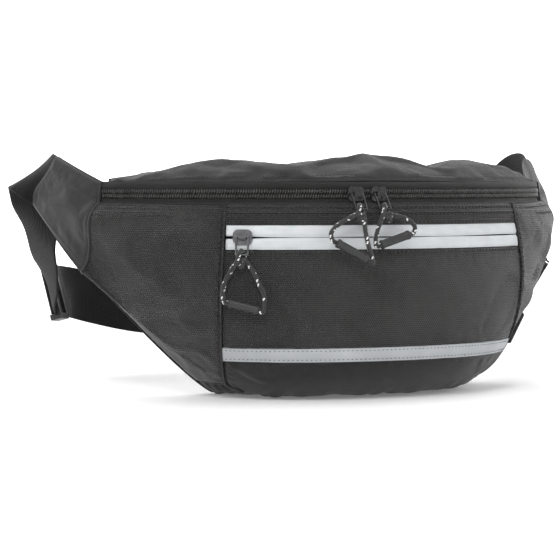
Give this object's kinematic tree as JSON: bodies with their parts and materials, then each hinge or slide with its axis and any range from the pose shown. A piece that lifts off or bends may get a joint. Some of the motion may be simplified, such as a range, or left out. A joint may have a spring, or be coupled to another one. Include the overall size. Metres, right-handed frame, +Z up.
{
  "type": "waist pack",
  "caption": "Curved waist pack standing on its base, with a main zip, a reflective-banded front pocket, side wings and a buckled webbing belt.",
  "frame": {"origin": "middle of the flat base the pack stands on", "axes": "+X to the wearer's left as the pack is seen from its front, -Y out of the front face, +Z up"},
  "size_m": [0.4221, 0.3094, 0.1708],
  "materials": {
    "body_fabric": "woven, matt charcoal",
    "coated_fabric": "smooth coated, dark grey",
    "mesh_fabric": "spacer mesh, black",
    "foam": "closed-cell foam, grey",
    "lining_fabric": "thin lining, grey",
    "reflective_grey": "reflective tape, grey",
    "reflective_white": "coated reflective zip tape, near white",
    "zip_tape": "woven tape, black",
    "zip_coil": "nylon coil, black",
    "webbing": "ribbed webbing, black",
    "plastic": "moulded acetal, dark grey",
    "slider_black": "black lacquered zinc",
    "slider_grey": "gunmetal zinc",
    "cord": "braided cord, black with white flecks",
    "grip": "soft moulded grip, black"
  },
  "bodies": {
    "bag": {"front_panel": "body_fabric", "front_top_strip": "body_fabric", "side_panel_left": "body_fabric", "side_panel_right": "body_fabric", "top_panel": "body_fabric", "gusset_left": "body_fabric", "gusset_right": "body_fabric", "bottom_panel": "coated_fabric", "wing_left": "coated_fabric", "wing_right": "coated_fabric", "back_panel": "mesh_fabric", "wing_pad_left": "mesh_fabric", "wing_pad_right": "mesh_fabric", "back_binding": "mesh_fabric", "back_foam": "foam", "pocket_lining": "lining_fabric", "reflective_strip": "reflective_grey", "band_upper": "reflective_white", "band_lower": "reflective_white", "zip_tape_front": "zip_tape", "zip_tape_rear": "zip_tape", "zip_coil_front": "zip_coil", "zip_coil_rear": "zip_coil", "pocket_coil_upper": "zip_coil", "pocket_coil_lower": "zip_coil", "belt_left": "webbing", "belt_return": "webbing", "belt_right": "webbing", "side_loop": "webbing", "buckle_female": "plastic"},
    "slider_l": {"main_slider_left": "slider_black"},
    "slider_r": {"main_slider_right": "slider_black"},
    "slider_p": {"pocket_slider": "slider_grey"},
    "puller_l": {"bail_left": "slider_black", "cord_left": "cord", "grip_left": "grip"},
    "puller_r": {"bail_right": "slider_black", "cord_right": "cord", "grip_right": "grip"},
    "puller_p": {"bail_pocket": "slider_grey", "cord_pocket": "cord", "grip_pocket": "grip"},
    "adjuster": {"triglide": "plastic"},
    "buckle_half": {"buckle_male": "plastic"},
    "prong_a": {"prong_upper": "plastic"},
    "prong_b": {"prong_lower": "plastic"}
  },
  "joints": [
    {"name": "main_slider_left_travel", "type": "hinge", "parent": "bag", "child": "slider_l", "pos_m": [0, 0.138, 0.14], "axis": [0, 0, 1], "range_deg": [-49.5, 0]},
    {"name": "main_slider_right_travel", "type": "hinge", "parent": "bag", "child": "slider_r", "pos_m": [0, 0.138, 0.14], "axis": [0, 0, 1], "range_deg": [0, 60]},
    {"name": "pocket_slider_travel", "type": "hinge", "parent": "bag", "child": "slider_p", "pos_m": [0, 0.138, 0.1111], "axis": [0, 0, 1], "range_deg": [0, 58]},
    {"name": "puller_left_swing", "type": "hinge", "parent": "slider_l", "child": "puller_l", "pos_m": [-0.02788, -0.0655, 0.14], "axis": [-0.9907, 0.1357, 0], "range_deg": [0, 95]},
    {"name": "puller_right_swing", "type": "hinge", "parent": "slider_r", "child": "puller_r", "pos_m": [-0.01147, -0.06708, 0.14], "axis": [-0.9984, 0.0558, 0], "range_deg": [0, 95]},
    {"name": "puller_pocket_swing", "type": "hinge", "parent": "slider_p", "child": "puller_p", "pos_m": [-0.1037, -0.04678, 0.1118], "axis": [-0.8721, 0.4894, 0], "range_deg": [0, 95]},
    {"name": "adjuster_slide", "type": "slide", "parent": "bag", "child": "adjuster", "axis": [0.5208, 0.8499, -0.0802], "range_m": [0, 0.022], "deforming": ["belt_return"]},
    {"name": "buckle_release", "type": "slide", "parent": "bag", "child": "buckle_half", "axis": [1, 0, 0], "range_m": [0, 0.034], "deforming": ["belt_right", "prong_upper", "prong_lower"]},
    {"name": "prong_upper_squeeze", "type": "hinge", "parent": "buckle_half", "child": "prong_a", "pos_m": [0.0156, 0.218, 0.0614], "axis": [0, -1, 0], "range_deg": [0, 6], "stiffness_Nm_per_rad": 0.15},
    {"name": "prong_lower_squeeze", "type": "hinge", "parent": "buckle_half", "child": "prong_b", "pos_m": [0.0156, 0.218, 0.0326], "axis": [0, 1, 0], "range_deg": [0, 6], "stiffness_Nm_per_rad": 0.15}
  ]
}
